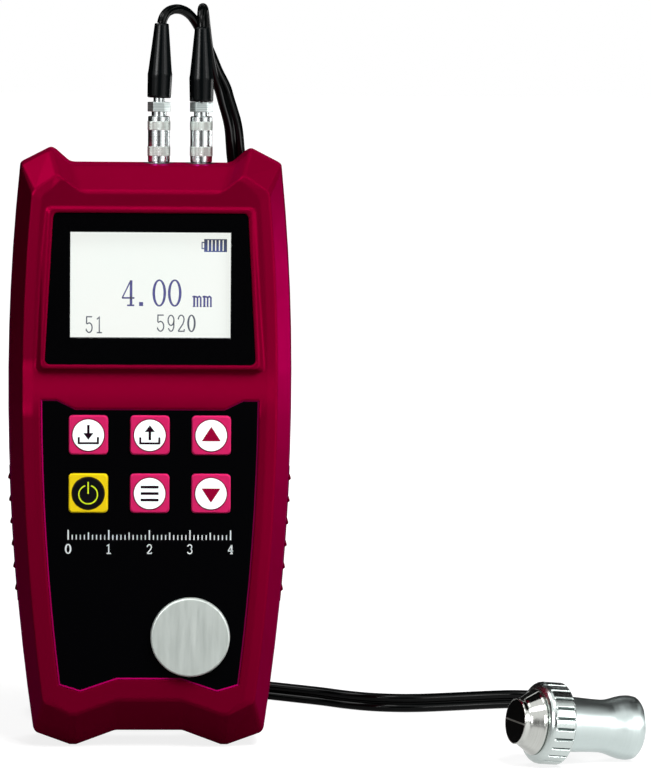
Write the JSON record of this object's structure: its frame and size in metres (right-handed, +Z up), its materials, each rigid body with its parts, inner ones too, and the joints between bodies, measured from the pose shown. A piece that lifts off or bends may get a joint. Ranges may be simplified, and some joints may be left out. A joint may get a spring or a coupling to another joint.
{
  "type": "ultrasonic thickness gauge",
  "caption": "Hand-held ultrasonic thickness gauge with display, keypad and steel test disc, and a pipe-fluted probe on a coiled black lead.",
  "frame": {"origin": "midpoint between the two feet of the standing case, on the bench, at half the depth of the case", "axes": "+X to the right of the case as its display is read, towards the probe; +Y from the display to the battery door; +Z up along the case to its sockets"},
  "size_m": [0.1569, 0.1228, 0.1846],
  "materials": {
    "shell": "semi-gloss moulded plastic, deep crimson",
    "soft_black": "moulded rubber, satin black",
    "window": "clear acrylic with a printed black border",
    "lcd": "liquid crystal panel, grey-white with dark digits",
    "diffuser": "white light guide",
    "board": "green solder mask",
    "panel": "black panel with a fine texture",
    "key": "pink silicone rubber with a white disc",
    "power_key": "yellow silicone rubber with a black disc",
    "dome": "snap domes",
    "steel": "turned steel",
    "plated": "chrome plated brass",
    "cell": null,
    "screw": "dark steel",
    "black_plastic": "black moulded plastic",
    "probe_steel": "turned and satin finished steel",
    "cork": "pressed cork sheet",
    "ceramic": "piezoelectric ceramic",
    "lead": "glossy black cable jacket"
  },
  "bodies": {
    "gauge": {"front_shell": "shell", "rear_shell": "shell", "side_grip_left": "soft_black", "side_grip_right": "soft_black", "display_window": "window", "lcd_panel": "lcd", "backlight": "diffuser", "main_board": "board", "keypad_overlay": "panel", "key_domes": "dome", "test_block": "steel", "socket_left": "plated", "socket_right": "plated", "socket_nuts": "plated", "plug_left": "plated", "plug_right": "plated", "collet_nut_left": "plated", "collet_nut_right": "plated", "boot_left": "soft_black", "boot_right": "soft_black", "cell_left": "cell", "cell_right": "cell", "contact_springs": "steel", "contact_plates": "steel", "case_screws": "screw", "board_screws": "screw", "buzzer": "black_plastic", "probe_body": "probe_steel", "probe_nose": "plated", "delay_lines": "black_plastic", "sound_barrier": "cork", "crystals": "ceramic", "backing_block": "black_plastic", "lead_relief": "soft_black", "tail_left": "lead", "tail_right": "lead", "lead_drop": "lead", "lead_coil": "lead", "lead_run": "lead"},
    "key_store": {"key_store": "key"},
    "key_recall": {"key_recall": "key"},
    "key_up": {"key_up": "key"},
    "key_power": {"key_power": "power_key"},
    "key_menu": {"key_menu": "key"},
    "key_down": {"key_down": "key"},
    "release_sleeve_left": {"release_sleeve_left": "plated"},
    "release_sleeve_right": {"release_sleeve_right": "plated"},
    "battery_door": {"battery_door": "shell"},
    "probe_ring": {"probe_ring": "probe_steel"}
  },
  "joints": [
    {"name": "key_store_press", "type": "slide", "parent": "gauge", "child": "key_store", "axis": [0, 1, 0], "range_m": [0, 0.0004], "stiffness_N_per_m": 600, "springref_m": -0.0004},
    {"name": "key_recall_press", "type": "slide", "parent": "gauge", "child": "key_recall", "axis": [0, 1, 0], "range_m": [0, 0.0004], "stiffness_N_per_m": 600, "springref_m": -0.0004},
    {"name": "key_up_press", "type": "slide", "parent": "gauge", "child": "key_up", "axis": [0, 1, 0], "range_m": [0, 0.0004], "stiffness_N_per_m": 600, "springref_m": -0.0004},
    {"name": "key_power_press", "type": "slide", "parent": "gauge", "child": "key_power", "axis": [0, 1, 0], "range_m": [0, 0.0004], "stiffness_N_per_m": 600, "springref_m": -0.0004},
    {"name": "key_menu_press", "type": "slide", "parent": "gauge", "child": "key_menu", "axis": [0, 1, 0], "range_m": [0, 0.0004], "stiffness_N_per_m": 600, "springref_m": -0.0004},
    {"name": "key_down_press", "type": "slide", "parent": "gauge", "child": "key_down", "axis": [0, 1, 0], "range_m": [0, 0.0004], "stiffness_N_per_m": 600, "springref_m": -0.0004},
    {"name": "release_sleeve_left_pull", "type": "slide", "parent": "gauge", "child": "release_sleeve_left", "axis": [0, 0, 1], "range_m": [0, 0.0007], "stiffness_N_per_m": 600, "springref_m": -0.0004},
    {"name": "release_sleeve_right_pull", "type": "slide", "parent": "gauge", "child": "release_sleeve_right", "axis": [0, 0, 1], "range_m": [0, 0.0007], "stiffness_N_per_m": 600, "springref_m": -0.0004},
    {"name": "battery_door_off", "type": "slide", "parent": "gauge", "child": "battery_door", "axis": [0, 1, 0], "range_m": [0, 0.025]},
    {"name": "probe_ring_turn", "type": "hinge", "parent": "gauge", "child": "probe_ring", "pos_m": [0.09697, -0.03464, 0.01026], "axis": [-0.934, -0.34, 0.1099], "continuous": true}
  ]
}
